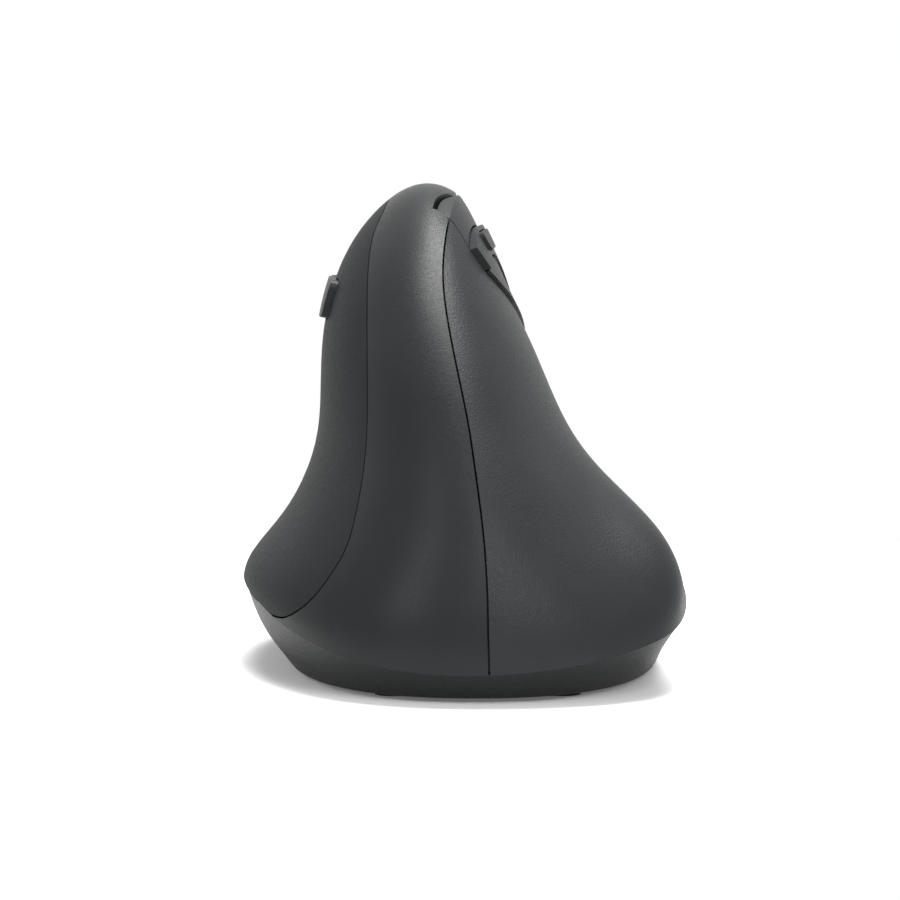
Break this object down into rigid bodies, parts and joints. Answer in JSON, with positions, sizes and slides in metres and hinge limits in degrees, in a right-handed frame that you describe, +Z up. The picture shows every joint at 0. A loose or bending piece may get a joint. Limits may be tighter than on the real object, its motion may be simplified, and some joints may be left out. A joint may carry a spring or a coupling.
{
  "type": "ergonomic mouse",
  "caption": "Upright right-handed wireless mouse: tall saddle-shaped body with two click paddles, a scroll wheel, thumb buttons and a battery door underneath.",
  "frame": {"origin": "on the desk surface under the middle of the body's bounding box", "axes": "+X to the finger side, +Y forwards away from the wrist, +Z up"},
  "size_m": [0.0691, 0.1102, 0.0757],
  "materials": {
    "shell": "satin black ABS, fine spark-eroded grain",
    "palm_grip": "charcoal soft-touch coat with fine grain",
    "button_plastic": "satin charcoal ABS",
    "trim_plastic": "dark satin trim",
    "base_plastic": "satin black lower housing",
    "wheel_rubber": "ribbed black rubber",
    "inner_plastic": "dark grey moulded",
    "white_plastic": "natural nylon",
    "switch_body": "black switch housing",
    "switch_cap": "red plunger",
    "board": "green solder mask",
    "chip": "black package",
    "lens": "clear moulded lens",
    "foot": "low-friction pad",
    "steel": "plated steel",
    "cell": "plain printed sleeve over a steel can",
    "cable": "flat flexible cable"
  },
  "bodies": {
    "housing": {"thumb_panel": "shell", "spine_shell": "shell", "palm_panel": "palm_grip", "base_shell": "base_plastic", "centre_strip": "trim_plastic", "inner_frame": "inner_plastic", "left_hinge_pin": "steel", "right_hinge_pin": "steel", "left_switch": "switch_body", "right_switch": "switch_body", "dpi_tact": "switch_body", "wheel_tact": "switch_body", "thumb_tact_back": "switch_body", "thumb_tact_forward": "switch_body", "pairing_tact": "switch_body", "button_board": "board", "thumb_board": "board", "main_board": "board", "optical_sensor": "chip", "sensor_lens": "lens", "glide_foot_front_left": "foot", "glide_foot_front_right": "foot", "glide_foot_rear_left": "foot", "glide_foot_rear_right": "foot", "case_screws": "steel", "frame_screws": "steel", "battery_cell": "cell", "battery_tray": "inner_plastic", "battery_contact": "steel", "battery_spring": "steel", "power_switch": "switch_body", "button_cable": "cable", "thumb_cable": "cable"},
    "left_button": {"left_button": "button_plastic"},
    "right_button": {"right_button": "button_plastic"},
    "left_plunger": {"left_plunger": "switch_cap"},
    "right_plunger": {"right_plunger": "switch_cap"},
    "wheel_carrier": {"wheel_carrier": "white_plastic", "wheel_encoder": "switch_body", "wheel_tact_cap": "switch_cap"},
    "wheel": {"wheel_tyre": "wheel_rubber", "wheel_hub": "inner_plastic", "wheel_axle": "steel"},
    "dpi_button": {"dpi_button": "button_plastic", "dpi_tact_cap": "switch_cap"},
    "thumb_button_back": {"thumb_button_back": "button_plastic", "thumb_tact_back_cap": "switch_cap"},
    "thumb_button_forward": {"thumb_button_forward": "button_plastic", "thumb_tact_forward_cap": "switch_cap"},
    "battery_door": {"battery_door": "base_plastic"},
    "power_slider": {"power_slider": "white_plastic"},
    "pairing_button": {"pairing_button": "button_plastic", "pairing_tact_cap": "switch_cap"},
    "usb_receiver": {"usb_receiver_cap": "button_plastic", "usb_receiver_plug": "steel"}
  },
  "joints": [
    {"name": "left_click", "type": "hinge", "parent": "housing", "child": "left_button", "pos_m": [-0.00549, 0.00207, 0.06818], "axis": [-0.3338, 0, 0.9426], "range_deg": [0, 1.5], "stiffness_Nm_per_rad": 1.2, "springref_deg": -0.23},
    {"name": "right_click", "type": "hinge", "parent": "housing", "child": "right_button", "pos_m": [0.00038, -0.00293, 0.0588], "axis": [-0.3338, 0, 0.9426], "range_deg": [0, 1.2], "stiffness_Nm_per_rad": 1.2, "springref_deg": -0.23},
    {"name": "left_switch_press", "type": "slide", "parent": "housing", "child": "left_plunger", "axis": [-0.9426, 0, -0.3338], "range_m": [0, 0.0006]},
    {"name": "right_switch_press", "type": "slide", "parent": "housing", "child": "right_plunger", "axis": [-0.9426, 0, -0.3338], "range_m": [0, 0.0006]},
    {"name": "wheel_click", "type": "slide", "parent": "housing", "child": "wheel_carrier", "axis": [-0.9426, 0, -0.3338], "range_m": [0, 0.0005], "stiffness_N_per_m": 1800, "springref_m": -0.00015},
    {"name": "wheel_spin", "type": "hinge", "parent": "wheel_carrier", "child": "wheel", "pos_m": [-0.00058, 0.02007, 0.05761], "axis": [-0.3338, 0, 0.9426], "continuous": true},
    {"name": "dpi_press", "type": "slide", "parent": "housing", "child": "dpi_button", "axis": [-0.9426, 0, -0.3338], "range_m": [0, 0.0004], "stiffness_N_per_m": 2000, "springref_m": -0.00012},
    {"name": "thumb_back_press", "type": "slide", "parent": "housing", "child": "thumb_button_back", "axis": [0.9781, 0, -0.2079], "range_m": [0, 0.0005], "stiffness_N_per_m": 1600, "springref_m": -0.00015},
    {"name": "thumb_forward_press", "type": "slide", "parent": "housing", "child": "thumb_button_forward", "axis": [0.9781, 0, -0.2079], "range_m": [0, 0.0005], "stiffness_N_per_m": 1600, "springref_m": -0.00015},
    {"name": "battery_door_hinge", "type": "hinge", "parent": "housing", "child": "battery_door", "pos_m": [-0.01063, 0.02567, 0.0015], "axis": [1, 0, 0], "range_deg": [0, 100]},
    {"name": "power_slide", "type": "slide", "parent": "housing", "child": "power_slider", "axis": [0, 1, 0], "range_m": [0, 0.0025]},
    {"name": "pairing_press", "type": "slide", "parent": "housing", "child": "pairing_button", "axis": [0, 0, 1], "range_m": [0, 0.0004], "stiffness_N_per_m": 2000, "springref_m": -0.00012},
    {"name": "receiver_pull", "type": "slide", "parent": "housing", "child": "usb_receiver", "axis": [0, 0, -1], "range_m": [0, 0.012]}
  ],
  "couplings": [
    {"joint": "left_switch_press", "follows": "left_click", "m_per_rad": 0.011},
    {"joint": "right_switch_press", "follows": "right_click", "m_per_rad": 0.022}
  ]
}
